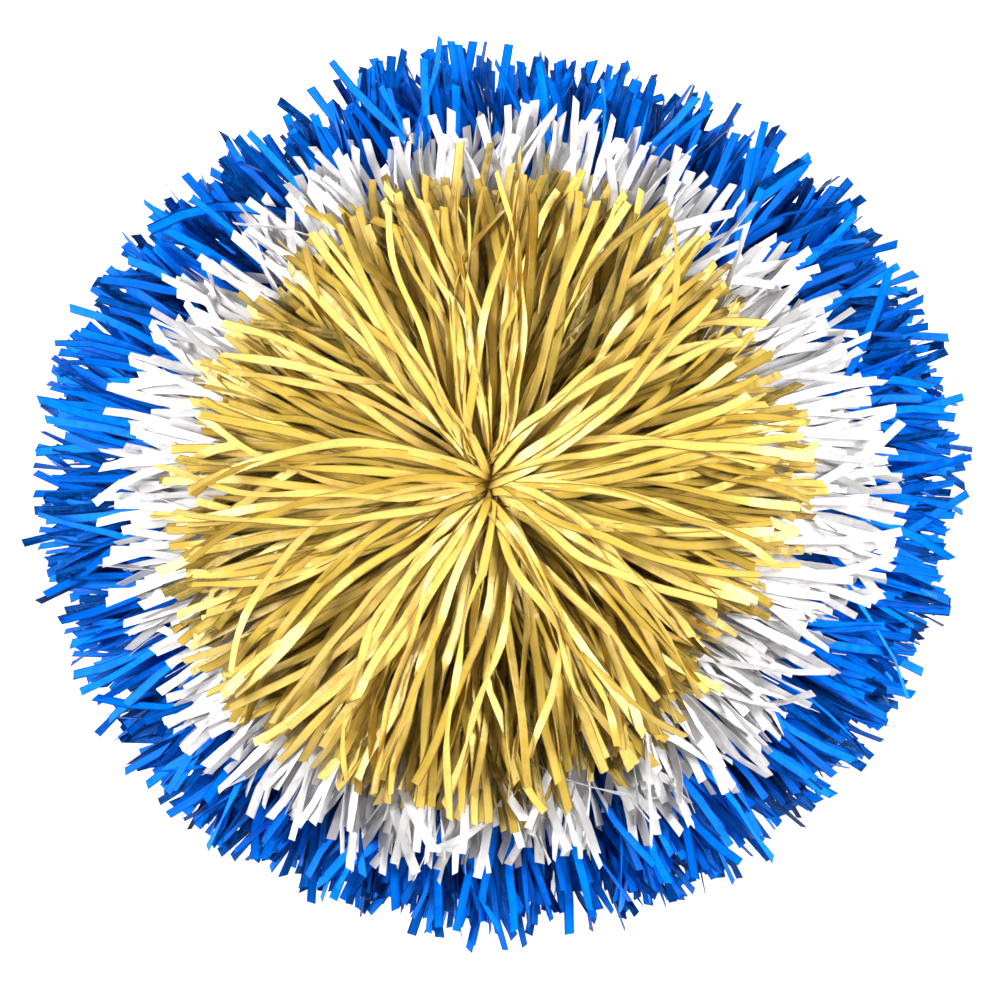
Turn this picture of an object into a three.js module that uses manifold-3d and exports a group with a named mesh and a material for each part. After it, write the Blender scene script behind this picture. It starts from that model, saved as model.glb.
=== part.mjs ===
// Three-colour target cheer pom pom with a baton handle. Millimetres, +Z up.
// The pom stands on its lower head with its baton along Z. The origin is the middle of the floor under it.
import * as THREE from "three";
import { mergeVertices } from "three/addons/utils/BufferGeometryUtils.js";
import Module from "manifold-3d";

const wasm = await Module();
wasm.setup();

// Heights that place everything
const MIDDLE_Z = 94.5; // the plane that mirrors one end of the baton into the other
const UPPER_FLANGE_Z = 136.5; // underside of the upper end plug's flange
const GAP = 0.4; // clearance between pieces that touch on the real pom

// Baton
const TUBE_OUTER_R = 9.5;
const TUBE_INNER_R = 7;
const SLEEVE_R = 12;
const SLEEVE_RIB = 0.8;
const SLEEVE_RIBS = 8;
const SLEEVE_RIB_TOP = 0.5; // the share of each rib's pitch that its flat top takes
const WRAP_R = 11;
const WRAP_LENGTH = 10;
const FLANGE_R = 13;
const FLANGE_THICK = 2.5;
const FLANGE_CHAMFER = 0.8;
const SPIGOT_LENGTH = 16;
const SPIGOT_CHAMFER = 1;
const EYE_WIDTH = 10;
const EYE_THICK = 6;
const EYE_HEIGHT = 10;
const EYE_OVERLAP = 1; // how far the eye sinks into the flange, so that the two join

// Zip tie: a flat strap that loops in the YZ plane through the end plug's eye
const STRAP_WIDTH = 3.6;
const STRAP_THICK = 1.2;
const LOOP_HALF = 9; // half the inner width of the loop
const LOOP_LOW_Z = 145.2;
const LOOP_HIGH_Z = 157;
const LOOP_CORNER_R = 2.5;
const LOOP_CORNER_STEPS = 5;
const TAIL_LENGTH = 7;
const LOCK_BOX = [5.8, 4.6, 4.5]; // width, depth and height

// Gathers: the uncut middle bands of the three stacks of film, cinched by the tie
const GATHER_R = 16;
const GATHER_CHAMFER = 3;
const GATHER_BORE_R = 6.3;
const BLUE_GATHER_Z = [UPPER_FLANGE_Z + FLANGE_THICK + GAP, 147.4];
const WHITE_GATHER_Z = [147.8, 152.2];
const GOLD_GATHER_Z = [152.6, 170];
const PIT_R = 8;
const PIT_FLOOR_Z = LOOP_HIGH_Z;
const FOOT_R = 60; // the crushed middle of the lower gold strands, which the pom rests on
const FOOT_HEIGHT = 14;

// Tufts: each head's strands in sectors round the baton
const SECTORS = 6;
const CREST_GAP = 9; // room for a gold tuft to swing beside its neighbours, high above its hinge
const SECTOR_GAP = 6; // the same for the other tufts
const REACH_STEPS = 8;
const ARC_STEPS = 4;
const TIP_ROUNDING = 0.02; // how much less a tuft reaches at its sides than in its middle
const FLATTEN_Y = 0.99; // the strands spread a little less far along Y than along X
const ROUND_SIDES = 24;

const GOLD = { color: 0xe9cb5c, roughness: 0.35, metalness: 0.1 };
const WHITE = { color: 0xf2f0ee, roughness: 0.35, metalness: 0 };
const BLUE = { color: 0x0a63d8, roughness: 0.35, metalness: 0 };
const BLACK_PLASTIC = { color: 0x1b1c1f, roughness: 0.5, metalness: 0 };
const BLACK_RUBBER = { color: 0x242528, roughness: 0.85, metalness: 0 };
const NYLON = { color: 0xe8e4d8, roughness: 0.5, metalness: 0 };
const VINYL_TAPE = { color: 0x16418f, roughness: 0.3, metalness: 0 };

// The upper and under surface of each layer of tufts, as radius and height. Both run from root to tip.
const TUFT_LAYERS = [
  {
    name: "gold_strands_upper",
    look: GOLD,
    gap: CREST_GAP,
    over: [[22, 175], [50, 190], [88, 186], [124, 166]],
    under: [[22, 163], [50, 171], [88, 168], [124, 155]],
  },
  {
    name: "white_strands_upper",
    look: WHITE,
    gap: SECTOR_GAP,
    over: [[22, 159.5], [55, 167], [100, 160.5], [145, 140]],
    under: [[22, 153], [55, 155], [100, 147], [145, 126]],
  },
  {
    name: "blue_strands_upper",
    look: BLUE,
    gap: SECTOR_GAP,
    over: [[22, 149.5], [60, 150.5], [105, 139.5], [140, 123], [165, 112]],
    under: [[22, 140], [60, 134], [110, 118], [165, 94]],
  },
  {
    name: "gold_strands_lower",
    look: GOLD,
    gap: SECTOR_GAP,
    over: [[63, 15], [95, 16], [124, 13]],
    under: [[63, 2], [95, 2], [124, 2]],
  },
  {
    name: "white_strands_lower",
    look: WHITE,
    gap: SECTOR_GAP,
    over: [[22, 36], [60, 33], [105, 29], [145, 23]],
    under: [[22, 24], [60, 20], [120, 18.5], [145, 8]],
  },
  {
    name: "blue_strands_lower",
    look: BLUE,
    gap: SECTOR_GAP,
    over: [[22, 50], [60, 56], [110, 64], [165, 70]],
    under: [[22, 40], [60, 37], [110, 32], [145, 27], [165, 20]],
  },
];

function piece(name, geometry, look) {
  const mesh = new THREE.Mesh(geometry, new THREE.MeshStandardMaterial(look));
  mesh.name = name;
  return mesh;
}

function toSolid(geometry) {
  const bare = geometry.clone();
  bare.deleteAttribute("normal");
  bare.deleteAttribute("uv");
  const merged = mergeVertices(bare);
  return new wasm.Manifold(
    new wasm.Mesh({
      numProp: 3,
      vertProperties: merged.attributes.position.array,
      triVerts: new Uint32Array(merged.index.array),
    }),
  );
}

function toGeometry(solid) {
  const mesh = solid.getMesh();
  const geometry = new THREE.BufferGeometry();
  geometry.setAttribute("position", new THREE.BufferAttribute(mesh.vertProperties, 3));
  geometry.setIndex(new THREE.BufferAttribute(mesh.triVerts, 1));
  geometry.computeVertexNormals();
  return geometry;
}

// A solid of revolution about Z from points of radius and height, listed counter-clockwise from the axis side.
function turned(points, sides = ROUND_SIDES) {
  const profile = points.map(([radius, height]) => new THREE.Vector2(radius, height));
  return new THREE.LatheGeometry(profile, sides).rotateX(Math.PI / 2);
}

function ring(innerR, outerR, lowZ, highZ) {
  return turned([
    [innerR, highZ],
    [innerR, lowZ],
    [outerR, lowZ],
    [outerR, highZ],
    [innerR, highZ],
  ]);
}

function block(width, depth, height, x, y, z) {
  return new THREE.BoxGeometry(width, depth, height).translate(x, y, z);
}

function roundedRectangle(path, halfWidth, low, high, radius) {
  path.moveTo(-halfWidth + radius, low);
  path.lineTo(halfWidth - radius, low);
  path.absarc(halfWidth - radius, low + radius, radius, -Math.PI / 2, 0);
  path.lineTo(halfWidth, high - radius);
  path.absarc(halfWidth - radius, high - radius, radius, 0, Math.PI / 2);
  path.lineTo(-halfWidth + radius, high);
  path.absarc(-halfWidth + radius, high - radius, radius, Math.PI / 2, Math.PI);
  path.lineTo(-halfWidth, low + radius);
  path.absarc(-halfWidth + radius, low + radius, radius, Math.PI, Math.PI * 1.5);
  return path;
}

// The strap's closed loop and the tail that comes back up through the lock, grown by margin on every side.
function strapSolid(margin) {
  const outside = LOOP_HALF + STRAP_THICK + margin;
  const low = LOOP_LOW_Z - STRAP_THICK - margin;
  const high = LOOP_HIGH_Z + STRAP_THICK + margin;
  const shape = roundedRectangle(new THREE.Shape(), outside, low, high, LOOP_CORNER_R + STRAP_THICK + margin);
  const hole = roundedRectangle(
    new THREE.Path(),
    LOOP_HALF - margin,
    LOOP_LOW_Z + margin,
    LOOP_HIGH_Z - margin,
    LOOP_CORNER_R - margin,
  );
  shape.holes.push(hole);
  const width = STRAP_WIDTH + 2 * margin;
  const extrusion = { depth: width, bevelEnabled: false, curveSegments: LOOP_CORNER_STEPS };
  const loop = new THREE.ExtrudeGeometry(shape, extrusion);
  loop.translate(0, 0, -width / 2);
  // The outline was drawn as across and up, so one cyclic turn of the axes puts it in the YZ plane.
  loop.applyMatrix4(new THREE.Matrix4().set(0, 0, 1, 0, 1, 0, 0, 0, 0, 1, 0, 0, 0, 0, 0, 1));
  const tailLow = LOOP_HIGH_Z + STRAP_THICK / 2;
  const tailHigh = LOOP_HIGH_Z + TAIL_LENGTH + margin;
  const tail = block(width, STRAP_THICK + 2 * margin, tailHigh - tailLow, 0, 0, (tailLow + tailHigh) / 2);
  return toSolid(loop).add(toSolid(tail));
}

function makeTieStrap() {
  return toGeometry(strapSolid(0));
}

function makeTieHead() {
  const lowZ = LOOP_HIGH_Z + STRAP_THICK + GAP;
  const box = block(...LOCK_BOX, 0, 0, lowZ + LOCK_BOX[2] / 2);
  return toGeometry(toSolid(box).subtract(strapSolid(GAP)));
}

// A moulded plug: a spigot inside the tube, a flange on its end and a flat eye above for the tie.
function makeEndPlug() {
  const spigotR = TUBE_INNER_R - GAP;
  const flangeTop = UPPER_FLANGE_Z + FLANGE_THICK;
  const body = turned([
    [0, UPPER_FLANGE_Z - SPIGOT_LENGTH],
    [spigotR - SPIGOT_CHAMFER, UPPER_FLANGE_Z - SPIGOT_LENGTH],
    [spigotR, UPPER_FLANGE_Z - SPIGOT_LENGTH + SPIGOT_CHAMFER],
    [spigotR, UPPER_FLANGE_Z],
    [FLANGE_R, UPPER_FLANGE_Z],
    [FLANGE_R, flangeTop - FLANGE_CHAMFER],
    [FLANGE_R - FLANGE_CHAMFER, flangeTop],
    [0, flangeTop],
  ]);
  const eyeMiddle = flangeTop + (EYE_HEIGHT - EYE_OVERLAP) / 2;
  const eye = block(EYE_WIDTH, EYE_THICK, EYE_HEIGHT + EYE_OVERLAP, 0, 0, eyeMiddle);
  return toGeometry(toSolid(body).add(toSolid(eye)).subtract(strapSolid(GAP)));
}

function makeBatonTube() {
  const highZ = UPPER_FLANGE_Z - GAP;
  return ring(TUBE_INNER_R, TUBE_OUTER_R, 2 * MIDDLE_Z - highZ, highZ);
}

function makeNeckWrap() {
  const highZ = UPPER_FLANGE_Z - GAP;
  return ring(TUBE_OUTER_R + GAP, WRAP_R, highZ - WRAP_LENGTH, highZ);
}

// A soft sleeve with raised ribs, between the two neck wraps.
function makeGripSleeve() {
  const highZ = UPPER_FLANGE_Z - WRAP_LENGTH - 2 * GAP;
  const lowZ = 2 * MIDDLE_Z - highZ;
  const boreR = TUBE_OUTER_R + GAP;
  const pitch = (highZ - lowZ) / SLEEVE_RIBS;
  const profile = [[boreR, highZ], [boreR, lowZ], [SLEEVE_R - SLEEVE_RIB, lowZ]];
  for (let i = 0; i < SLEEVE_RIBS; i++) {
    const start = lowZ + i * pitch;
    profile.push([SLEEVE_R, start + (pitch * (1 - SLEEVE_RIB_TOP)) / 2]);
    profile.push([SLEEVE_R, start + (pitch * (1 + SLEEVE_RIB_TOP)) / 2]);
    profile.push([SLEEVE_R - SLEEVE_RIB, start + pitch]);
  }
  profile.push([boreR, highZ]);
  return turned(profile);
}

// One colour's cinched middle band: a ring round the plug's eye, with a way through it for the strap.
function makeRingGather([lowZ, highZ]) {
  return toGeometry(toSolid(ring(GATHER_BORE_R, GATHER_R, lowZ, highZ)).subtract(strapSolid(GAP)));
}

// The outermost band closes over the eye, and a pit in its middle holds the tie's lock.
function makeUpperGoldGather() {
  const [lowZ, highZ] = GOLD_GATHER_Z;
  const band = turned([
    [0, lowZ],
    [GATHER_R, lowZ],
    [GATHER_R, highZ - GATHER_CHAMFER],
    [GATHER_R - GATHER_CHAMFER, highZ],
    [PIT_R, highZ],
    [PIT_R, PIT_FLOOR_Z],
    [0, PIT_FLOOR_Z],
  ]);
  return toGeometry(toSolid(band).subtract(strapSolid(GAP)));
}

// The same band under the lower head, drawn as if it were above: the crushed strands make it a wide foot.
function makeLowerGoldGather() {
  const lowZ = GOLD_GATHER_Z[0];
  const floorZ = 2 * MIDDLE_Z;
  const footZ = floorZ - FOOT_HEIGHT;
  const band = turned([
    [0, lowZ],
    [GATHER_R, lowZ],
    [GATHER_R, footZ],
    [FOOT_R, footZ],
    [FOOT_R, floorZ],
    [PIT_R, floorZ],
    [PIT_R, PIT_FLOOR_Z],
    [0, PIT_FLOOR_Z],
  ]);
  return toGeometry(toSolid(band).subtract(strapSolid(GAP)));
}

function sampledSurface(points) {
  const curve = new THREE.SplineCurve(points.map(([radius, height]) => new THREE.Vector2(radius, height)));
  return curve.getPoints(REACH_STEPS);
}

// A sector-shaped arched slab between the over and under surfaces, centred on the +X direction before its turn.
function makeTuft({ over, under, gap }, turn) {
  const rows = ARC_STEPS + 1;
  const halfSector = Math.PI / SECTORS;
  const positions = [];
  for (const surface of [sampledSurface(over), sampledSurface(under)]) {
    surface.forEach(({ x: radius, y: height }, step) => {
      const halfAngle = halfSector - Math.asin(gap / 2 / radius);
      for (let j = 0; j <= ARC_STEPS; j++) {
        const across = (2 * j) / ARC_STEPS - 1;
        const angle = turn + across * halfAngle;
        const reach = radius * (1 - TIP_ROUNDING * (step / REACH_STEPS) ** 2 * across ** 2);
        positions.push(reach * Math.cos(angle), reach * Math.sin(angle) * FLATTEN_Y, height);
      }
    });
  }
  const below = (REACH_STEPS + 1) * rows; // where the under surface's points start
  const index = [];
  const quad = (a, b, c, d) => index.push(a, b, c, a, c, d);
  for (let i = 0; i < REACH_STEPS; i++) {
    for (let j = 0; j < ARC_STEPS; j++) {
      const at = i * rows + j;
      quad(at, at + rows, at + rows + 1, at + 1);
      quad(below + at, below + at + 1, below + at + rows + 1, below + at + rows);
    }
    const right = i * rows;
    const left = i * rows + ARC_STEPS;
    quad(below + right, below + right + rows, right + rows, right);
    quad(left, left + rows, below + left + rows, below + left);
  }
  const tips = REACH_STEPS * rows;
  for (let j = 0; j < ARC_STEPS; j++) {
    quad(j, j + 1, below + j + 1, below + j);
    quad(tips + j, below + tips + j, below + tips + j + 1, tips + j + 1);
  }
  const geometry = new THREE.BufferGeometry();
  geometry.setAttribute("position", new THREE.Float32BufferAttribute(positions, 3));
  geometry.setIndex(index);
  geometry.computeVertexNormals();
  return geometry;
}

// What both ends of the baton have alike. The lower end is this group turned upside down by a mirror.
function makeEnd(end) {
  const group = new THREE.Group();
  const makeGold = end === "upper" ? makeUpperGoldGather : makeLowerGoldGather;
  group.add(
    piece(`end_plug_${end}`, makeEndPlug(), BLACK_PLASTIC),
    piece(`tie_strap_${end}`, makeTieStrap(), NYLON),
    piece(`tie_head_${end}`, makeTieHead(), NYLON),
    piece(`neck_wrap_${end}`, makeNeckWrap(), VINYL_TAPE),
    piece(`blue_gather_${end}`, makeRingGather(BLUE_GATHER_Z), BLUE),
    piece(`white_gather_${end}`, makeRingGather(WHITE_GATHER_Z), WHITE),
    piece(`gold_gather_${end}`, makeGold(), GOLD),
  );
  return group;
}

function makeStrands() {
  const group = new THREE.Group();
  for (const layer of TUFT_LAYERS) {
    for (let sector = 0; sector < SECTORS; sector++) {
      const turn = (2 * Math.PI * sector) / SECTORS;
      group.add(piece(`${layer.name}_${sector + 1}`, makeTuft(layer, turn), layer.look));
    }
  }
  return group;
}

const pom = new THREE.Group();
pom.add(piece("baton_tube", makeBatonTube(), BLACK_PLASTIC));
pom.add(piece("grip_sleeve", makeGripSleeve(), BLACK_RUBBER));
pom.add(makeEnd("upper"));
const lowerEnd = makeEnd("lower");
lowerEnd.scale.z = -1;
lowerEnd.position.z = 2 * MIDDLE_Z;
pom.add(lowerEnd);
pom.add(makeStrands());

export default pom;
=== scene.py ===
"""The three-colour cheer pom pom: film strands, gathers, baton, floor, lights and camera.

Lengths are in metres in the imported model's frame: +Z runs up the baton and out of the gold face.
"""

import math
from dataclasses import dataclass

import bpy
import numpy as np
from mathutils import Matrix, Vector


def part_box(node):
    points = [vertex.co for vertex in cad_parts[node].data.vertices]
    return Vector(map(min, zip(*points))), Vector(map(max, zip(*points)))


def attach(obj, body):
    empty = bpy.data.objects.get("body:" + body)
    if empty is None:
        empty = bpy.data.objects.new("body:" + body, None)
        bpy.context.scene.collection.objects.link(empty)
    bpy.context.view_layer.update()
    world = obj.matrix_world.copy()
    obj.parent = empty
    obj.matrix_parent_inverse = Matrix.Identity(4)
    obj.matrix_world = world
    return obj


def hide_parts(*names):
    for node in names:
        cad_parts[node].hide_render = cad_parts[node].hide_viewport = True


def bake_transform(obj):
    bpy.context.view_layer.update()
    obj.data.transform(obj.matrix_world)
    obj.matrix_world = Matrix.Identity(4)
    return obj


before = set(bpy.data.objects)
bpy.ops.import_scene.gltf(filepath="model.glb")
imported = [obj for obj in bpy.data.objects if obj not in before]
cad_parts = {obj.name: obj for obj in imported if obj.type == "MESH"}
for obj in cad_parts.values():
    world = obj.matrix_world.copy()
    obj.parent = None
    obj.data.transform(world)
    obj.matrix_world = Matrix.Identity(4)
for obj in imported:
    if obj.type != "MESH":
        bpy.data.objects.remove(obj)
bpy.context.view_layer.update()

MM = 0.001
SECTORS = 6
FLATTEN_Y = 0.975  # the strands spread a little less far along Y than along X

# The film strips. A spread is a standard deviation, a share is a part of all the strips, and angles are in
# radians.
FILM_WIDTH = 3.2 * MM
FILM_THICK = 0.14 * MM
WIDTH_SPREAD = 0.07
CUT_SLANT = 0.3  # spread of how far a cut end slants, as a part of the width
STEP_EASE = 1.45  # above 1, the steps along a strip are shorter at its root
LOWEST = 1.85 * MM  # a strip's centre line stays this far above the ground, so that it can lie on its edge
DEPTH_SHADE = 0.75  # painted shade and light: how much darker the undermost strips are coloured than the uppermost, in place of the shadow that the strips above cast on them
UNSHADED_HEIGHT = 0.5  # the height in the layer at which this painted shade and light leave the tone as it is

# Locks, loose strips and strays
LOCK_JITTER = 0.35  # how far a lock may sit off its even place, as a part of the locks' spacing
LOCK_FAN = 0.4  # spread of the strips in a lock, as a part of the locks' spacing
LOCK_DEPTH = 0.2  # spread of the strips in a lock through the layer, as a part of its thickness
LOCK_BEND = 0.17
LOOSE_SHARE = 0.45  # strips that lie between the locks
STRAY_SHARE = 0.05  # strips that stray across their neighbours, on top of them
STRAY_BEND = 0.32
STRAY_HEIGHT = 1.05  # where strays lie in the layer: 1 is its top
STRIP_BEND = 0.16
STRIP_RAGGED = 0.9  # a strip's own raggedness, against that of its lock
MOST_RAGGED = 2.2

# Roots
ROOT_HALF = 11 * MM  # half the length of the bundle that the tie holds, along Y
ROOT_RANGE = (0.1, 1)  # how far along its half of the bundle a strip's root may lie
ROOT_SHIFT = 0.2  # spread of the roots along the bundle, as a part of its half length
ROOT_SPREAD = 2 * MM  # spread of the roots across the bundle
ROOT_LENGTH = 3.5 * MM  # how far from the tie the roots have risen out of their dip
ROOT_LENGTH_RANGE = (0.5, 1.9)  # and the part of it that each strip takes
EITHER_SIDE = 0.3  # how freely strips near the bundle's ends choose the side that they start to
STRAIGHT_SHARE = 0.35  # strips that leave the tie in their own direction at once
FOLD_LENGTH = 5 * MM  # how far a strip runs before it has turned from the bundle's direction to its own
FOLD_SPREAD = 0.5
FOLD_ROLL_REACH = 1.3  # how much farther than its turn a strip's roll at the fold goes on

# Curls, kinks and twists
BEND_PIVOT = 0.35  # the part of its length at which a bent strip points along its azimuth
CURL = 0.07
CURL_WAVES = (30 * MM, 80 * MM)
KINKED_SHARE = 0.3  # strips with one sharp bend
KINK_RANGE = (0.15, 0.9)  # the part of its length at which a strip may be kinked
KINK_ANGLE = 0.22
KINK_ROLL = 0.8
SAG = 0.8 * MM
SAG_WAVES = (30 * MM, 70 * MM)
RIPPLE = 0.2 * MM
RIPPLE_WAVES = (9 * MM, 20 * MM)
RIPPLE_START = 6  # the ripple has its full size from one sixth of the length on
ROLL = 0.5
ROLL_WAVE = 0.16
ROLL_WAVES = (18 * MM, 50 * MM)
TWISTED_SHARE = 0.25
TWIST = 2.6


@dataclass
class Stack:
    """One colour of film on one end of the baton.

    Lengths are in millimetres. The profiles are points of radius and height, and the lobes say how much
    farther the tips reach at each hour of a clock face, from +X towards +Y.
    """

    colour: str
    end: str
    seed: int
    strips: int
    locks: int
    steps: int
    reach: float
    ragged: float
    splay: float
    dip: float
    lobes: tuple
    outer: tuple
    inner: tuple


GOLD_LOBES = (4, -5, 5, 8, 0, -4, 2, 8, 6, 8, -2, -9)
WHITE_LOBES = (4, -1, 0, 0, -3, -3, -1, 2, 3, 1, 2, -5)
BLUE_LOBES = (1, 4, 0, -1, -4, 0, 4, 2, -2, 0, -1, -2)

STACKS = (
    Stack("gold", "upper", 11, 960, 70, 26, 103, 0.050, 2.5, 9, GOLD_LOBES,
          outer=((0, 172), (8, 177), (22, 184), (50, 190), (88, 184), (128, 165)),
          inner=((0, 160), (8, 161), (22, 164), (50, 168), (88, 162), (128, 146))),
    Stack("white", "upper", 12, 900, 64, 20, 129, 0.045, 4.0, 2, WHITE_LOBES,
          outer=((0, 157), (22, 161), (55, 167), (100, 160), (148, 141)),
          inner=((0, 151), (22, 153), (55, 154), (100, 146), (148, 124))),
    Stack("blue", "upper", 13, 1300, 84, 20, 157, 0.030, 8.0, 0, BLUE_LOBES,
          outer=((0, 149), (22, 150), (60, 151), (105, 140), (140, 126), (170, 112)),
          inner=((0, 142), (22, 141), (60, 134), (110, 118), (170, 94))),
    Stack("gold", "lower", 21, 360, 50, 14, 110, 0.050, 1.0, 6, GOLD_LOBES,
          outer=((0, 24), (8, 12), (22, 3), (60, 1.2), (128, 1.2)),
          inner=((0, 31), (8, 26), (22, 21), (60, 17), (128, 13))),
    Stack("white", "lower", 22, 420, 50, 14, 135, 0.045, 2.0, 2, WHITE_LOBES,
          outer=((0, 33), (22, 25), (60, 20), (120, 16), (148, 7)),
          inner=((0, 38), (22, 36), (60, 33), (105, 29), (148, 22))),
    Stack("blue", "lower", 23, 900, 80, 16, 155, 0.030, 8.0, 0, BLUE_LOBES,
          outer=((0, 40), (22, 40), (60, 37), (110, 32), (145, 26), (170, 18)),
          inner=((0, 47), (22, 50), (60, 56), (110, 64), (170, 70))),
)


def smooth_profile(points, samples=240):
    """Radii and heights along a Catmull-Rom spline through the points, in metres."""
    knots = np.array(points, float) * MM
    padded = np.vstack([2 * knots[0] - knots[1], knots, 2 * knots[-1] - knots[-2]])
    t = np.linspace(0, len(knots) - 1, samples)
    k = np.minimum(t.astype(int), len(knots) - 2)
    f = (t - k)[:, None]
    a, b, c, d = (padded[k + i] for i in range(4))
    curve = b + 0.5 * f * (c - a + f * (2 * a - 5 * b + 4 * c - d + f * (3 * (b - c) + d - a)))
    return np.maximum.accumulate(curve[:, 0]), curve[:, 1]


def waves(rng, count, along, shortest, longest, parts=3):
    """Smooth random curves of about unit size, one row each: sums of sines in a range of wavelengths."""
    total = np.zeros((count, along.shape[-1]))
    for _ in range(parts):
        wavelength = rng.uniform(shortest, longest, (count, 1))
        phase = rng.uniform(0, math.tau, (count, 1))
        total += np.sin(math.tau * along / wavelength + phase)
    return total / math.sqrt(parts / 2)


def folded_back(values):
    """Values outside 0 to 1, turned back into it."""
    return 1 - np.abs(1 - np.abs(values))


def unit(vectors):
    return vectors / np.linalg.norm(vectors, axis=-1, keepdims=True)


class Strips:
    """Centre lines, cross directions and sizes of all the strips of a stack."""

    def __init__(self, stack):
        rng = np.random.default_rng(stack.seed)
        n, m = stack.strips, stack.steps + 1
        self.aim(rng, stack, n)
        self.run_out(rng, stack, n, m)
        self.lie_in_layer(rng, stack, n)
        self.roll_over(rng, n, m)
        self.cut(rng, n)

    def aim(self, rng, stack, n):
        """Gathers the strips in locks that point the same way, with loose ones and strays between."""
        spacing = math.tau / stack.locks
        jitter = rng.uniform(-LOCK_JITTER, LOCK_JITTER, stack.locks)
        lock_azimuth = (np.arange(stack.locks) + jitter) * spacing
        lock_depth = np.sqrt(rng.random(stack.locks))
        lock_bend = rng.normal(0, LOCK_BEND, stack.locks)
        lock_reach = rng.normal(0, 1, stack.locks)
        lock = rng.integers(0, stack.locks, n)
        loose = rng.random(n) < LOOSE_SHARE
        stray = rng.random(n) < STRAY_SHARE
        in_lock = lock_azimuth[lock] + rng.normal(0, LOCK_FAN * spacing, n)
        self.azimuth = np.where(loose, rng.uniform(0, math.tau, n), in_lock)
        depth = np.where(loose, np.sqrt(rng.random(n)), lock_depth[lock] + rng.normal(0, LOCK_DEPTH, n))
        self.height = np.where(stray, STRAY_HEIGHT, 1 - folded_back(depth))
        self.bend = np.where(loose, 0, lock_bend[lock]) + rng.normal(0, STRIP_BEND, n)
        self.bend += np.where(stray, rng.normal(0, STRAY_BEND, n), 0)
        hours = np.arange(len(stack.lobes) + 1) * math.tau / len(stack.lobes)
        lobe = np.interp(self.azimuth % math.tau, hours, [*stack.lobes, stack.lobes[0]])
        ragged = lock_reach[lock] + rng.normal(0, STRIP_RAGGED, n)
        ragged = np.clip(ragged, -MOST_RAGGED, MOST_RAGGED)
        self.reach = (stack.reach + lobe) * MM * (1 + stack.ragged * ragged)

    def run_out(self, rng, stack, n, m):
        """Takes each strip out of the tie to the nearer side, and turns it to its own direction."""
        along = np.linspace(0, 1, m) ** STEP_EASE
        self.along = along * self.reach[:, None]
        start = np.where(np.cos(self.azimuth) + rng.normal(0, EITHER_SIDE, n) < 0, math.pi, 0.0)
        straight = rng.random(n) < STRAIGHT_SHARE
        self.turn = np.where(straight, 0, (start - self.azimuth + math.pi) % math.tau - math.pi)
        self.fold = FOLD_LENGTH * np.exp(rng.normal(0, FOLD_SPREAD, (n, 1)))
        kinked = rng.random((n, 1)) < KINKED_SHARE
        self.past_kink = kinked & (along > rng.uniform(*KINK_RANGE, (n, 1)))
        heading = self.azimuth[:, None] + self.turn[:, None] * np.exp(-self.along / self.fold)
        heading += rng.normal(0, KINK_ANGLE, (n, 1)) * self.past_kink
        heading += 2 * self.bend[:, None] * (along - BEND_PIVOT)
        heading += CURL * waves(rng, n, self.along, *CURL_WAVES)
        step = np.diff(self.along, axis=1, prepend=0)
        x = np.cumsum(step * np.cos(heading), axis=1) + rng.normal(0, ROOT_SPREAD, (n, 1))
        y = np.cumsum(step * np.sin(heading), axis=1)
        root = np.sin(self.azimuth) * rng.uniform(*ROOT_RANGE, n) + rng.normal(0, ROOT_SHIFT, n)
        y += ROOT_HALF * root[:, None]
        missing = self.reach / np.hypot(x[:, -1], y[:, -1]) - 1
        stretch = 1 + missing[:, None] * along
        self.plan = np.stack([x * stretch, y * stretch * FLATTEN_Y], axis=-1)

    def lie_in_layer(self, rng, stack, n):
        """Lifts each strip to its height between the stack's two faces."""
        radius = np.hypot(self.plan[..., 0], self.plan[..., 1])
        along = self.along / self.along[:, -1:]
        outer = np.interp(radius, *smooth_profile(stack.outer))
        inner = np.interp(radius, *smooth_profile(stack.inner))
        z = inner + self.height[:, None] * (outer - inner)
        away = 1 if stack.end == "upper" else -1
        rise = ROOT_LENGTH * rng.uniform(*ROOT_LENGTH_RANGE, (n, 1))
        z -= away * stack.dip * MM * np.exp(-self.along / rise)
        z += SAG * waves(rng, n, self.along, *SAG_WAVES) * along
        ripple = waves(rng, n, self.along, *RIPPLE_WAVES)
        z += RIPPLE * ripple * np.minimum(1, RIPPLE_START * along)
        z += stack.splay * MM * rng.normal(0, 1, (n, 1)) * along**3
        self.centre = np.dstack([self.plan, np.maximum(z, LOWEST)])

    def roll_over(self, rng, n, m):
        """Lays each strip's face along its layer, then rolls and twists it. A folding one turns on edge."""
        tangent = unit(np.gradient(self.centre, axis=1))
        level = unit(np.stack([-tangent[..., 1], tangent[..., 0], np.zeros((n, m))], axis=-1))
        face = np.cross(tangent, level)
        along = self.along / self.along[:, -1:]
        twisted = rng.random((n, 1)) < TWISTED_SHARE
        roll = rng.normal(0, ROLL, (n, 1)) + rng.normal(0, ROLL, (n, 1)) * along
        roll = roll + np.where(twisted, rng.normal(0, TWIST, (n, 1)), 0) * along
        roll = roll + ROLL_WAVE * waves(rng, n, self.along, *ROLL_WAVES)
        roll = roll + rng.normal(0, KINK_ROLL, (n, 1)) * self.past_kink
        roll = roll + self.turn[:, None] * np.exp(-((self.along / self.fold / FOLD_ROLL_REACH) ** 2))
        self.across = level * np.cos(roll)[..., None] + face * np.sin(roll)[..., None]
        self.face = face * np.cos(roll)[..., None] - level * np.sin(roll)[..., None]
        self.tangent = tangent

    def cut(self, rng, n):
        """Gives each strip its width, the slant of its cut end, and its tone from dark to light: random,
        with painted shade on strips low in the layer and painted light on strips near its top.
        """
        self.width = FILM_WIDTH * (1 + rng.normal(0, WIDTH_SPREAD, n))
        self.slant = rng.normal(0, CUT_SLANT, n)
        # painted shade and light: strips deeper in the layer get a darker tone, and higher ones a lighter
        # tone
        self.tone = np.clip(rng.random(n) + DEPTH_SHADE * (self.height - UNSHADED_HEIGHT), 0, 1)

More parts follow.
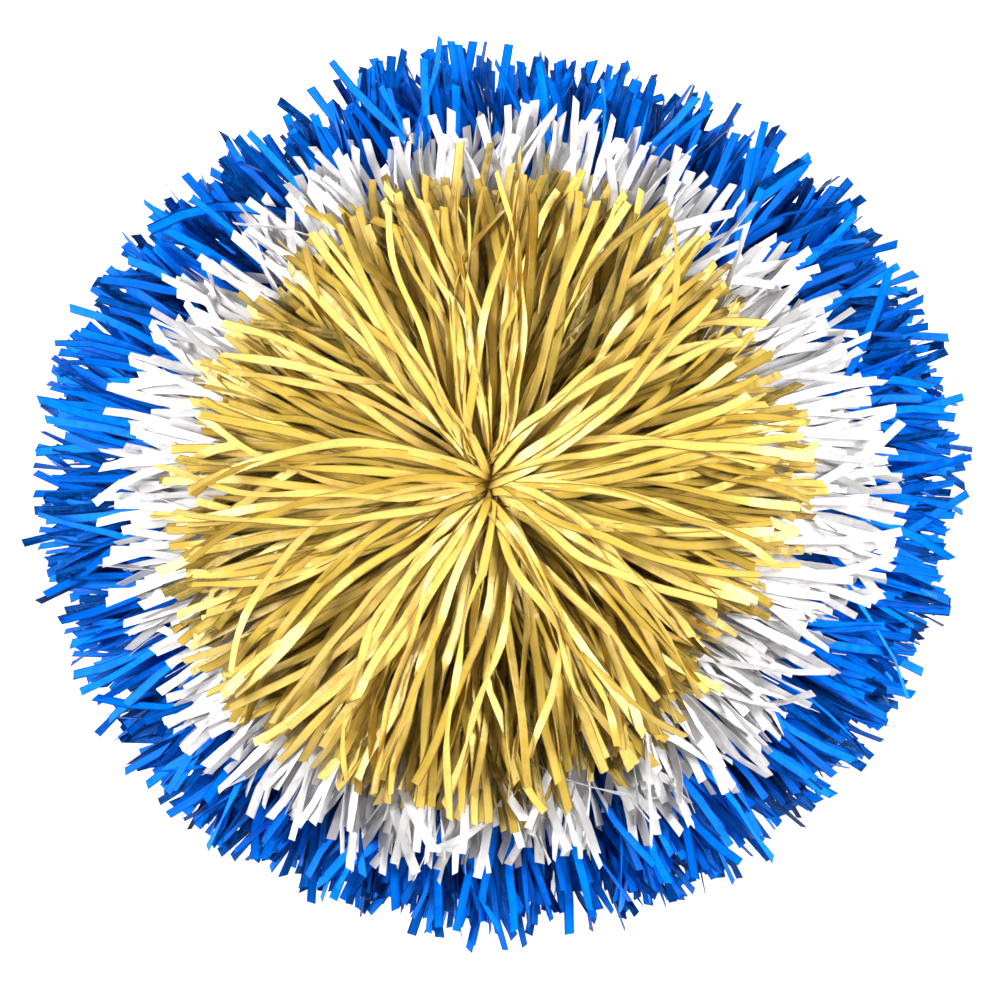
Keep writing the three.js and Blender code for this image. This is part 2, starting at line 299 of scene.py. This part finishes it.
    def sector(self):
        """The tuft that each strip belongs to, by where its tip points."""
        tip = self.centre[:, -1]
        angle = np.arctan2(tip[:, 1], tip[:, 0])
        return np.round(angle / (math.tau / SECTORS)).astype(int) % SECTORS


def strip_mesh(name, strips, chosen):
    """One mesh of closed thin ribbons, with their own film coordinates and tone, which carries the painted
    depth shade, as attributes.
    """
    centre, across, face = strips.centre[chosen], strips.across[chosen], strips.face[chosen]
    count, rings = centre.shape[:2]
    half = (strips.width[chosen] / 2)[:, None, None]
    side = across * half
    lift = face * (FILM_THICK / 2)
    corners = np.stack([lift - side, lift + side, side - lift, -side - lift], axis=2)
    vertices = centre[:, :, None, :] + corners
    slant = (strips.slant[chosen] * strips.width[chosen])[:, None]
    vertices[:, -1, 1:3] += (slant * strips.tangent[chosen][:, -1])[:, None, :]
    vertices = vertices.reshape(-1, 3)

    ring = np.arange(count * rings * 4).reshape(count, rings, 4)
    here, there = ring[:, :-1], ring[:, 1:]
    walls = np.stack([here, there, np.roll(there, -1, 2), np.roll(here, -1, 2)], axis=-1)
    faces = np.concatenate([walls.reshape(-1, 4), ring[:, 0], ring[:, -1, ::-1]])

    mesh = bpy.data.meshes.new(name)
    mesh.from_pydata(vertices.tolist(), [], faces.tolist())
    mesh.polygons.foreach_set("use_smooth", np.ones(len(mesh.polygons), bool))
    ends = np.empty(len(mesh.edges) * 2, int)
    mesh.edges.foreach_get("vertices", ends)
    first, second = ends[0::2] // 4, ends[1::2] // 4
    at_end = (first % rings == 0) | (first % rings == rings - 1)
    sharp = (first != second) | at_end
    mesh.attributes.new("sharp_edge", "BOOLEAN", "EDGE").data.foreach_set("value", sharp)

    width = strips.width[chosen][:, None, None]
    film = np.zeros((count, rings, 4, 3))
    film[..., 0] = width * np.array([-0.5, 0.5, 0.5, -0.5])
    film[..., 1] = strips.along[chosen][:, :, None]
    film[..., 2] = strips.tone[chosen][:, None, None]
    mesh.attributes.new("film", "FLOAT_VECTOR", "POINT").data.foreach_set("vector", film.ravel())
    mesh.update()
    return mesh


def add_object(name, mesh, material):
    piece = bpy.data.objects.new(name, mesh)
    bpy.context.scene.collection.objects.link(piece)
    mesh.materials.append(material)
    return piece


# Materials


MIX_COLOURS = (6, 7)  # where a Mix node keeps its two colours, as their names are shared with other sockets
MIX_RESULT = 2


class Nodes:
    """A short way to build one material's node tree."""

    def __init__(self, name):
        self.material = bpy.data.materials.new(name)
        self.material.use_nodes = True
        self.tree = self.material.node_tree
        self.shader = self.tree.nodes["Principled BSDF"]

    def add(self, kind, settings=None, **inputs):
        node = self.tree.nodes.new("ShaderNode" + kind)
        for key, value in (settings or {}).items():
            setattr(node, key, value)
        for key, value in inputs.items():
            self.feed(node, key.replace("_", " "), value)
        return node

    def feed(self, node, socket, value):
        target = node.inputs[socket]
        if isinstance(value, bpy.types.NodeSocket):
            self.tree.links.new(value, target)
        else:
            target.default_value = value

    def ramp(self, factor, *stops):
        node = self.add("ValToRGB", Fac=factor)
        elements = node.color_ramp.elements
        while len(elements) < len(stops):
            elements.new(0.5)
        for element, (position, colour) in zip(elements, stops):
            element.position = position
            element.color = (*colour, 1)
        return node.outputs["Color"]

    def noise(self, vector, scale, detail=2.0, roughness=0.5):
        node = self.add("TexNoise", Vector=vector, Scale=scale, Detail=detail, Roughness=roughness)
        return node.outputs["Fac"]

    def scaled(self, vector, factors):
        node = self.add("VectorMath", {"operation": "MULTIPLY"})
        self.feed(node, 0, vector)
        node.inputs[1].default_value = factors
        return node.outputs["Vector"]

    def multiply_add(self, value, factor, addend):
        node = self.add("Math", {"operation": "MULTIPLY_ADD"})
        for socket, given in enumerate((value, factor, addend)):
            self.feed(node, socket, given)
        return node.outputs["Value"]

    def mix(self, factor, first, second):
        node = self.add("Mix", {"data_type": "RGBA"}, Factor=factor)
        self.feed(node, MIX_COLOURS[0], first)
        self.feed(node, MIX_COLOURS[1], (*second, 1))
        return node.outputs[MIX_RESULT]

    def remap(self, value, low, high, to_low, to_high):
        node = self.add("MapRange", Value=value, From_Min=low, From_Max=high, To_Min=to_low, To_Max=to_high)
        return node.outputs["Result"]

    def bump(self, height, strength, distance):
        node = self.add("Bump", Height=height, Strength=strength, Distance=distance)
        self.feed(self.shader, "Normal", node.outputs["Normal"])


@dataclass
class Film:
    """How one colour of film looks: shades from dark to light, a second hue in patches, and its gloss.

    Colours are linear. The roughness is a low and a high value.
    """

    shades: tuple
    patch: tuple
    gloss: float
    glint: tuple
    roughness: tuple


# How often the film's noises change: per metre across and along a strip, and per unit of its tone, which
# gives each strip a part of the noise to itself
STREAKS = (1400, 24, 900)
PATCHES = (420, 260, 700)
CREASES = (110, 230, 500)
PATCH_RANGE = (0.45, 0.7)  # the noise values between which the second hue comes in
PATCH_STRENGTH = 0.75
STREAK_STRENGTH = 0.9
TONE_RANGE = (-0.4, 0.6)
NOISE_RANGE = (0.3, 0.7)  # between these lie nearly all values of a noise
CREASE_DEPTH = 5.0  # against that of the streaks
FILM_RELIEF = 0.14 * MM
EDGE_SHADE_START = 1.15 * MM  # where the painted shade along a strip's cut edges starts, in place of the shadow lines between strips
# painted shade at a strip's very edge, as a part of the way to its darkest shade
PAINTED_EDGE_SHADE = 0.85


def film_material(name, look):
    """Satin film: a shade for each strip, drawn streaks, patches, creases, and painted shade along its cut
    edges in place of the shadows between strips.
    """
    nodes = Nodes(name)
    film = nodes.add("Attribute", {"attribute_name": "film"}).outputs["Vector"]
    parts = nodes.add("SeparateXYZ", Vector=film)
    across = nodes.add("Math", {"operation": "ABSOLUTE"})
    nodes.feed(across, 0, parts.outputs["X"])
    streaks = nodes.noise(nodes.scaled(film, STREAKS), 1.0, 3.0, 0.6)
    patches = nodes.noise(nodes.scaled(film, PATCHES), 1.0, 3.0, 0.65)
    creases = nodes.noise(nodes.scaled(film, CREASES), 1.0, 2.0, 0.5)
    tone = nodes.remap(parts.outputs["Z"], 0, 1, *TONE_RANGE)
    shade = nodes.multiply_add(streaks, STREAK_STRENGTH, tone)
    share = nodes.remap(patches, *PATCH_RANGE, 0, PATCH_STRENGTH)
    colour = nodes.mix(share, nodes.ramp(shade, *look.shades), look.patch)
    # painted shade: the colour darkens towards the cut edges, in place of the shadow lines between
    # overlapping strips
    edge = nodes.remap(across.outputs["Value"], EDGE_SHADE_START, FILM_WIDTH / 2, 0, PAINTED_EDGE_SHADE)
    darkest = look.shades[0][1]
    nodes.feed(nodes.shader, "Base Color", nodes.mix(edge, colour, darkest))
    nodes.feed(nodes.shader, "Roughness", nodes.remap(streaks, *NOISE_RANGE, *look.roughness))
    nodes.shader.inputs["Specular IOR Level"].default_value = look.gloss
    nodes.shader.inputs["Specular Tint"].default_value = (*look.glint, 1)
    nodes.bump(nodes.multiply_add(creases, CREASE_DEPTH, streaks), 0.7, FILM_RELIEF)
    return nodes.material


FILMS = {
    "gold": film_material("gold_film", Film(
        shades=((0.0, (0.10, 0.078, 0.014)), (0.3, (0.40, 0.275, 0.034)),
                (0.7, (0.55, 0.375, 0.050)), (1.0, (0.68, 0.490, 0.125))),
        patch=(0.57, 0.34, 0.088), gloss=0.8, glint=(1.0, 0.87, 0.5),
        roughness=(0.28, 0.44))),
    "white": film_material("white_film", Film(
        shades=((0.0, (0.50, 0.49, 0.49)), (0.45, (0.65, 0.64, 0.64)), (1.0, (0.74, 0.73, 0.73))),
        patch=(0.53, 0.50, 0.51), gloss=0.4, glint=(1, 1, 1), roughness=(0.32, 0.48))),
    "blue": film_material("blue_film", Film(
        shades=((0.0, (0.0, 0.012, 0.06)), (0.25, (0.0, 0.060, 0.30)),
                (0.6, (0.0, 0.125, 0.66)), (1.0, (0.0, 0.17, 0.88))),
        patch=(0.0, 0.095, 0.50), gloss=0.05, glint=(0.4, 0.6, 1.0), roughness=(0.36, 0.5))),
}


CLOUD_SIZE = 12  # how much broader than its grain a plastic's changes of shade are


def moulded(name, dark, light, grain, roughness, relief):
    """Moulded plastic: broad changes of shade, and a fine grain in gloss and bump."""
    nodes = Nodes(name)
    place = nodes.add("TexCoord").outputs["Object"]
    fine = nodes.noise(place, grain, 4.0, 0.6)
    broad = nodes.noise(place, grain / CLOUD_SIZE, 2.0, 0.5)
    low, high = NOISE_RANGE
    nodes.feed(nodes.shader, "Base Color", nodes.ramp(broad, (low, dark), (high, light)))
    nodes.feed(nodes.shader, "Roughness", nodes.remap(fine, low, high, *roughness))
    nodes.bump(fine, 0.3, relief)
    return nodes.material


BATON_PLASTIC = moulded(
    "baton_plastic", dark=(0.010, 0.010, 0.011), light=(0.018, 0.018, 0.020),
    grain=2600, roughness=(0.38, 0.52), relief=0.05 * MM)
GRIP_RUBBER = moulded(
    "grip_rubber", dark=(0.012, 0.012, 0.013), light=(0.024, 0.024, 0.026),
    grain=1800, roughness=(0.7, 0.9), relief=0.12 * MM)
TIE_NYLON = moulded(
    "tie_nylon", dark=(0.70, 0.68, 0.60), light=(0.82, 0.80, 0.74),
    grain=2200, roughness=(0.35, 0.5), relief=0.04 * MM)
TAPE_VINYL = moulded(
    "tape_vinyl", dark=(0.006, 0.03, 0.20), light=(0.010, 0.05, 0.28),
    grain=1500, roughness=(0.22, 0.36), relief=0.05 * MM)


# Strands


def build_strands():
    """Six pieces for each stack of film, each bending from the tie to its own tuft."""
    for stack in STACKS:
        strips = Strips(stack)
        sector = strips.sector()
        for k in range(SECTORS):
            name = f"{stack.colour}_film_{stack.end}_{k + 1}"
            node = f"{stack.colour}_strands_{stack.end}_{k + 1}"
            mesh = strip_mesh(name, strips, sector == k)
            piece = add_object(name, mesh, FILMS[stack.colour])
            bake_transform(piece)
            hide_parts(node)


# Gathers and baton


SHARP_ANGLE = math.radians(50)


def ring_solid(name, sections, material):
    """A closed ring through closed sections, given as an array of places round the ring by points."""
    around, points = sections.shape[:2]
    index = np.arange(around * points).reshape(around, points)
    here, there = index, np.roll(index, -1, 0)
    faces = np.stack([here, np.roll(here, -1, 1), np.roll(there, -1, 1), there], axis=-1)
    mesh = bpy.data.meshes.new(name)
    mesh.from_pydata(sections.reshape(-1, 3).tolist(), [], faces.reshape(-1, 4).tolist())
    mesh.polygons.foreach_set("use_smooth", np.ones(len(mesh.polygons), bool))
    mesh.set_sharp_from_angle(angle=SHARP_ANGLE)
    return add_object(name, mesh, material)


def turned(angles, radii, heights):
    """Section points at these radii and heights, which may differ from place to place round the axis."""
    return np.stack([radii * np.cos(angles), radii * np.sin(angles), heights + 0 * angles], axis=-1)


@dataclass
class Leaves:
    """The pleated middle of one stack of film: radii, then heights at those radii, all in millimetres."""

    colour: str
    end: str
    count: int
    radii: tuple
    low: tuple
    high: tuple
    pleats: int
    depth: float


LEAVES = (
    Leaves("gold", "upper", 5, (3, 16), (154, 155), (160, 168), 26, 1.1),
    Leaves("white", "upper", 3, (3, 16), (148.5, 148.8), (151, 151.4), 24, 0.5),
    Leaves("blue", "upper", 4, (7, 16), (141, 141), (146, 146), 24, 0.9),
    Leaves("gold", "lower", 6, (8, 59), (21, 3), (34, 12.5), 70, 1.0),
    Leaves("white", "lower", 3, (3, 16), (37.6, 37.6), (40.4, 40.2), 24, 0.5),
    Leaves("blue", "lower", 4, (7, 16), (43, 43), (48, 48), 24, 0.9),
)
LEAF_THICK = 0.3 * MM
LEAF_PLACES = 12  # places round the axis for each pleat
LEAF_RINGS = 10
LEAF_CURVE = 0.6  # below 1, a leaf slopes most near the tie
SWELLS = 5  # how often the pleats grow and shrink round the axis
SWELL_DEPTH = 0.4
ROOT_PLEAT = 0.25  # the pleats' depth at the tie, as a part of that at the rim
RIM_WAVES = 3
RIM_WAVE = 0.03
LEAF_RADIUS = 10 * MM  # the radius at which a leaf's film coordinate across the pleats is true to scale


def build_gathers():
    for leaves in LEAVES:
        rng = np.random.default_rng(len(leaves.colour) + leaves.pleats)
        for k in range(leaves.count):
            share = (k + 0.5) / leaves.count
            name = f"{leaves.colour}_gather_{leaves.end}_leaf_{k + 1}"
            piece = ring_solid(name, leaf_sections(leaves, rng, k, share), FILMS[leaves.colour])
            write_film_attribute(piece.data, share)
            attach(piece, "baton")
            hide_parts(f"{leaves.colour}_gather_{leaves.end}")


def leaf_sections(leaves, rng, k, share):
    """One leaf, this share of the way up its gather: out to the rim below, and back to the tie above."""
    angles = np.linspace(0, math.tau, leaves.pleats * LEAF_PLACES, endpoint=False)[:, None]
    out = np.linspace(0, 1, LEAF_RINGS)[None, :]
    root, rim = (low + share * (high - low) for low, high in zip(leaves.low, leaves.high))
    flat = (root + (rim - root) * out**LEAF_CURVE) * MM
    pleat = np.sin(leaves.pleats * angles + rng.uniform(0, math.tau))
    swell = 1 + SWELL_DEPTH * np.sin(SWELLS * angles + rng.uniform(0, math.tau))
    middle = flat + leaves.depth * MM * pleat * swell * (ROOT_PLEAT + (1 - ROOT_PLEAT) * out)
    radii = (leaves.radii[0] + (leaves.radii[1] - leaves.radii[0]) * out) * MM
    radii = radii * (1 - RIM_WAVE * np.sin(RIM_WAVES * angles + k) * out)
    radii = np.concatenate([radii, radii[:, ::-1]], axis=1)
    heights = np.concatenate([middle - LEAF_THICK / 2, middle[:, ::-1] + LEAF_THICK / 2], axis=1)
    return turned(angles, radii, heights)


def write_film_attribute(mesh, tone):
    """Film coordinates for a leaf: across the pleats, out from the tie, and its tone."""
    place = np.empty(len(mesh.vertices) * 3)
    mesh.vertices.foreach_get("co", place)
    x, y, _ = place.reshape(-1, 3).T
    film = np.stack([np.arctan2(y, x) * LEAF_RADIUS, np.hypot(x, y), np.full(len(x), tone)], axis=-1)
    mesh.attributes.new("film", "FLOAT_VECTOR", "POINT").data.foreach_set("vector", film.ravel())


ROUND_PLACES = 144
ROUND_ANGLES = np.linspace(0, math.tau, ROUND_PLACES, endpoint=False)[:, None]
BORE_PLAY = 0.1 * MM
BORE_RINGS = 3


def hollow_sections(low, high, out, outer):
    """A tube round the baton from low to high, with these outer radii at each part of its length."""
    back = np.linspace(1, 0, BORE_RINGS)[None, :]
    bore = np.full((ROUND_PLACES, BORE_RINGS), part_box("baton_tube")[1].x + BORE_PLAY)
    heights = low.z + (high.z - low.z) * np.concatenate([out, back], axis=1)
    return turned(ROUND_ANGLES, np.concatenate([outer, bore], axis=1), heights)[:, ::-1]


SLEEVE_RINGS = 260
SLEEVE_RIBS = 8
SLEEVE_RIB = 0.9 * MM
RIB_ROUNDING = 0.6  # below 1, the ribs are broad and the grooves between them narrow
SLEEVE_FLUTES = 36
FLUTE_DEPTH = 0.25 * MM
ROLLED_END = 1 / 60  # the part of the length over which each end is rolled


def build_grip_sleeve():
    """Soft ribbed sleeve with rolled ends and shallow flutes along it."""
    low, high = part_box("grip_sleeve")
    out = np.linspace(0, 1, SLEEVE_RINGS)[None, :]
    rib = np.abs(np.sin(out * SLEEVE_RIBS * math.pi)) ** RIB_ROUNDING
    flutes = 0.5 - 0.5 * np.cos(ROUND_ANGLES * SLEEVE_FLUTES)
    ends = np.minimum(1, np.minimum(out, 1 - out) / ROLLED_END)
    outer = high.x - SLEEVE_RIB * (1 - rib) - FLUTE_DEPTH * flutes * rib - SLEEVE_RIB * (1 - ends) ** 2
    piece = ring_solid("ribbed_grip_sleeve", hollow_sections(low, high, out, outer), GRIP_RUBBER)
    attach(piece, "baton")
    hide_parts("grip_sleeve")


TAPE_RINGS = 90
TAPE_PITCH = 3.2 * MM
TAPE_STEP = 0.28 * MM
TAPE_INSET = 0.15 * MM
WRINKLE = 0.05 * MM
WRINKLE_WAVES = (9, 23)  # round the wrap
WRINKLE_LEAN = 40  # how far the wrinkles lean from one end of the wrap to the other, in radians


def build_neck_wrap(end):
    """Turns of vinyl tape, each lapping over the one before."""
    node = f"neck_wrap_{end}"
    low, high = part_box(node)
    out = np.linspace(0, 1, TAPE_RINGS)[None, :]
    turns = out * (high.z - low.z) / TAPE_PITCH + ROUND_ANGLES / math.tau
    leaning = np.sin(WRINKLE_WAVES[0] * ROUND_ANGLES + WRINKLE_LEAN * out)
    wrinkle = WRINKLE * leaning * np.sin(WRINKLE_WAVES[1] * ROUND_ANGLES)
    outer = high.x - TAPE_INSET - TAPE_STEP * (turns % 1) + wrinkle
    piece = ring_solid(f"tape_wrap_{end}", hollow_sections(low, high, out, outer), TAPE_VINYL)
    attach(piece, "baton")
    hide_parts(node)


def finish_kept_nodes():
    """The baton's plastic and the ties keep their frame shapes and get their real finish."""
    finishes = {"baton_tube": BATON_PLASTIC}
    for end in ("upper", "lower"):
        finishes[f"end_plug_{end}"] = BATON_PLASTIC
        finishes[f"tie_strap_{end}"] = TIE_NYLON
        finishes[f"tie_head_{end}"] = TIE_NYLON
    for node, material in finishes.items():
        bpy.data.objects[node].data.materials[0] = material


# Floor, lights and camera


WALL_LIGHT = 0.9
WALL_TOP = 0.25  # the sine of the height angle up to which the wall is fully lit
CEILING_START = 0.55  # and of that from which the ceiling is dim
CEILING_LIGHT = 0.04
FLOOR_RADIUS = 1.4
FLOOR_SIDES = 160
GLOW_START = 0.7
RIM_GLOW = 0.3  # painted light: a glow that lifts the unlit far floor to about the wall's brightness


def build_floor():
    """A pale round floor with painted light: it glows more towards its rim, as a lit studio sweep
    brightens.
    """
    nodes = Nodes("studio_floor")
    place = nodes.add("TexCoord").outputs["Object"]
    cloudy = nodes.noise(place, 3.0, 2.0, 0.5)
    low, high = NOISE_RANGE
    pale = nodes.ramp(cloudy, (low, (0.90, 0.90, 0.90)), (high, (0.93, 0.93, 0.93)))
    nodes.feed(nodes.shader, "Base Color", pale)
    nodes.shader.inputs["Roughness"].default_value = 0.9
    distance = nodes.add("VectorMath", {"operation": "LENGTH"})
    nodes.feed(distance, 0, place)
    # painted light: the floor emits more light towards its rim
    glow = nodes.remap(distance.outputs["Value"], GLOW_START, FLOOR_RADIUS, 0, RIM_GLOW)
    nodes.shader.inputs["Emission Color"].default_value = (1, 1, 1, 1)
    nodes.feed(nodes.shader, "Emission Strength", glow)
    mesh = bpy.data.meshes.new("studio_floor")
    angles = [math.tau * k / FLOOR_SIDES for k in range(FLOOR_SIDES)]
    rim = [(FLOOR_RADIUS * math.cos(angle), FLOOR_RADIUS * math.sin(angle), 0) for angle in angles]
    mesh.from_pydata(rim, [], [range(FLOOR_SIDES)])
    floor = add_object("studio_floor", mesh, nodes.material)


def facing(backward):
    """The rotation of a light or camera that points against this direction, with +Y up in its picture."""
    z = backward.normalized()
    x = Vector((0, 1, 0)).cross(z).normalized()
    return Matrix((x, z.cross(x), z)).transposed().to_4x4()


def add_area_light(name, place, size, power):
    data = bpy.data.lights.new(name, "AREA")
    data.shape = "RECTANGLE"
    data.size, data.size_y = size
    data.energy = power
    light = bpy.data.objects.new(name, data)
    light.matrix_world = Matrix.Translation(place) @ facing(Vector(place))
    bpy.context.scene.collection.objects.link(light)


def build_lights():
    """Low softboxes from both sides, which pick out the strips' relief, and a faint one from above."""
    for name, x in (("left_softbox", -1.3), ("right_softbox", 1.3)):
        add_area_light(name, place=(x, 0.1, 0.95), size=(0.7, 0.9), power=50)
    add_area_light("top_softbox", place=(0, 0.5, 2.2), size=(1.0, 1.0), power=5)


def build_backdrop():
    """A pale wall of light all round, which fades to a dim ceiling above the lamps."""
    world = bpy.data.worlds.new("studio")
    world.use_nodes = True
    tree = world.node_tree
    direction = tree.nodes.new("ShaderNodeTexCoord").outputs["Generated"]
    parts = tree.nodes.new("ShaderNodeSeparateXYZ")
    fade = tree.nodes.new("ShaderNodeMapRange")
    fade.interpolation_type = "SMOOTHSTEP"
    fade.inputs["From Min"].default_value = WALL_TOP
    fade.inputs["From Max"].default_value = CEILING_START
    fade.inputs["To Min"].default_value = WALL_LIGHT
    fade.inputs["To Max"].default_value = CEILING_LIGHT
    tree.links.new(direction, parts.inputs["Vector"])
    tree.links.new(parts.outputs["Z"], fade.inputs["Value"])
    tree.links.new(fade.outputs["Result"], tree.nodes["Background"].inputs["Strength"])
    tree.nodes["Background"].inputs["Color"].default_value = (1, 1, 1, 1)
    bpy.context.scene.world = world


CAMERA_AIM = Vector((0.001, -0.003, 0.105))
CAMERA_DISTANCE = 1.6
CAMERA_OFFSET = Vector((0.07, -0.05, CAMERA_DISTANCE))  # nearly straight above the gold face
FRAME_WIDTH = 0.357  # what the camera sees across, at the rim's height


def build_camera():
    data = bpy.data.cameras.new("camera")
    data.sensor_width = 36
    data.lens = data.sensor_width * CAMERA_DISTANCE / FRAME_WIDTH
    camera = bpy.data.objects.new("camera", data)
    camera.matrix_world = Matrix.Translation(CAMERA_AIM + CAMERA_OFFSET) @ facing(CAMERA_OFFSET)
    bpy.context.scene.collection.objects.link(camera)
    bpy.context.scene.camera = camera
    bpy.context.scene.view_settings.view_transform = "Standard"


build_camera()
build_strands()
build_gathers()
build_grip_sleeve()
build_neck_wrap("upper")
build_neck_wrap("lower")
finish_kept_nodes()
build_floor()
build_lights()
build_backdrop()
